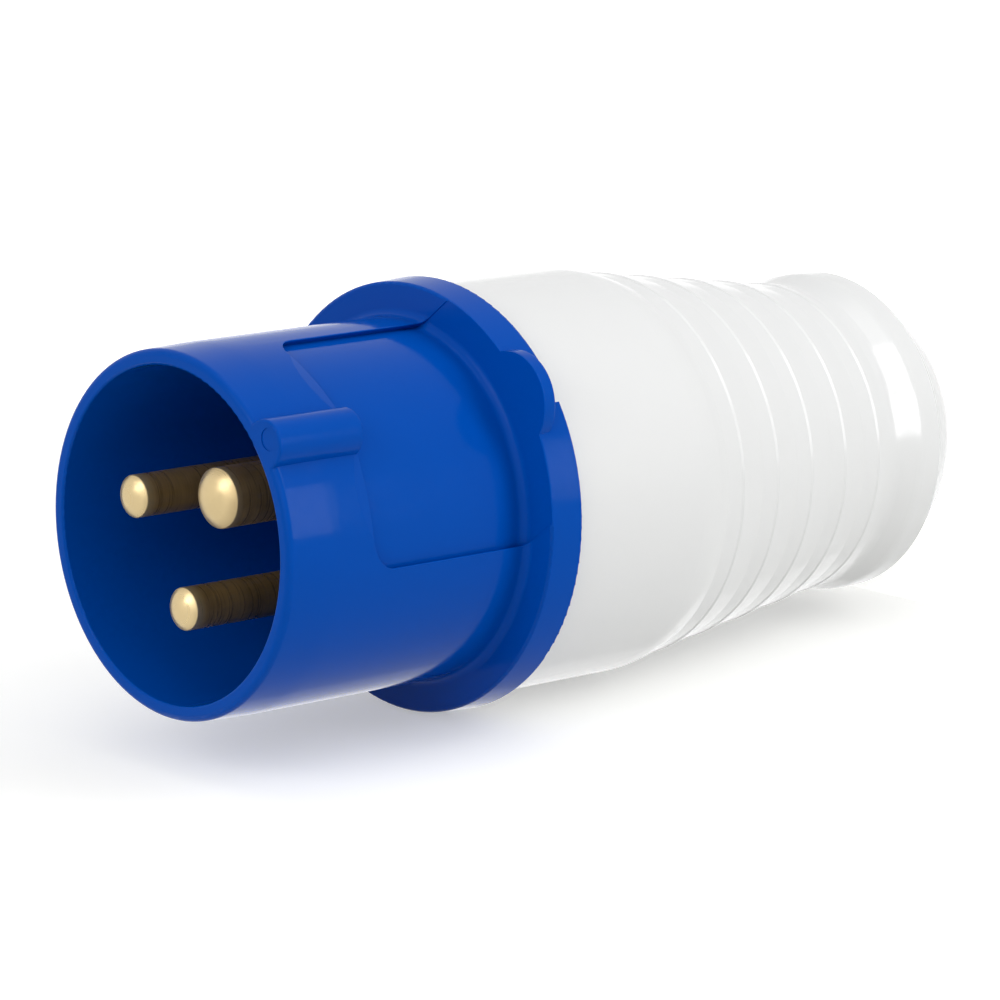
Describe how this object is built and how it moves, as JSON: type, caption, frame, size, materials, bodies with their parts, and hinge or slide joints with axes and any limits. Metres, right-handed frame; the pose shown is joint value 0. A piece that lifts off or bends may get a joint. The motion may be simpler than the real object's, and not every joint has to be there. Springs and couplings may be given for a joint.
{
  "type": "industrial pin and sleeve plug",
  "caption": "Straight cable plug with a keyed round sleeve around solid contact pins, a flange with a lug, and a tapering ribbed handle closed by a gland nut",
  "frame": {"origin": "centre of the cable opening in the gland nut's end face, on the plug's axis", "axes": "Z along the plug's axis towards the mating rim, -Y towards the key, the lug and the earth pin, +X towards the side of the line pin"},
  "size_m": [0.0514, 0.0544, 0.114],
  "materials": {
    "shroud_plastic": "moulded blue plastic, satin gloss",
    "carrier_plastic": "moulded dark blue plastic",
    "retainer_plastic": "moulded pale plastic",
    "handle_plastic": "moulded white plastic, glossy",
    "nut_plastic": "moulded white plastic, glossy",
    "collet_plastic": "moulded natural nylon",
    "pin_brass": "turned brass, fine tool rings",
    "leaf_steel": "stamped spring strip",
    "screw_steel": "zinc plated steel",
    "seal_rubber": "moulded rubber"
  },
  "bodies": {
    "handle_body": {"handle": "handle_plastic", "cable_seal": "seal_rubber", "clamp_collet": "collet_plastic"},
    "front_body": {"front_shroud": "shroud_plastic", "housing_seal": "seal_rubber", "pin_carrier": "carrier_plastic", "pin_retainer": "retainer_plastic", "earth_pin": "pin_brass", "line_pin": "pin_brass", "neutral_pin": "pin_brass", "earth_clamp_leaf": "leaf_steel", "line_clamp_leaf": "leaf_steel", "neutral_clamp_leaf": "leaf_steel", "retainer_screw_1": "screw_steel", "retainer_screw_2": "screw_steel", "retainer_screw_3": "screw_steel"},
    "washer_body": {"thrust_washer": "collet_plastic"},
    "nut_body": {"gland_nut": "nut_plastic"},
    "earth_screw_body": {"earth_terminal_screw": "screw_steel"},
    "line_screw_body": {"line_terminal_screw": "screw_steel"},
    "neutral_screw_body": {"neutral_terminal_screw": "screw_steel"}
  },
  "joints": [
    {"name": "front_twist", "type": "hinge", "parent": "handle_body", "child": "front_body", "pos_m": [0, 0, 0.0736], "axis": [0, 0, 1], "range_deg": [0, 32]},
    {"name": "washer_slide", "type": "slide", "parent": "handle_body", "child": "washer_body", "axis": [0, 0, 1], "range_m": [-0.003, 0]},
    {"name": "nut_turn", "type": "hinge", "parent": "washer_body", "child": "nut_body", "pos_m": [0, 0, 0], "axis": [0, 0, 1], "range_deg": [-540, 0]},
    {"name": "earth_screw_travel", "type": "slide", "parent": "front_body", "child": "earth_screw_body", "axis": [0, -1, 0], "range_m": [0, 0.0022]},
    {"name": "line_screw_travel", "type": "slide", "parent": "front_body", "child": "line_screw_body", "axis": [0.866, 0.5, 0], "range_m": [0, 0.0022]},
    {"name": "neutral_screw_travel", "type": "slide", "parent": "front_body", "child": "neutral_screw_body", "axis": [-0.866, 0.5, 0], "range_m": [0, 0.0022]}
  ],
  "couplings": [
    {"joint": "washer_slide", "follows": "nut_turn", "m_per_rad": 0.00031831}
  ]
}
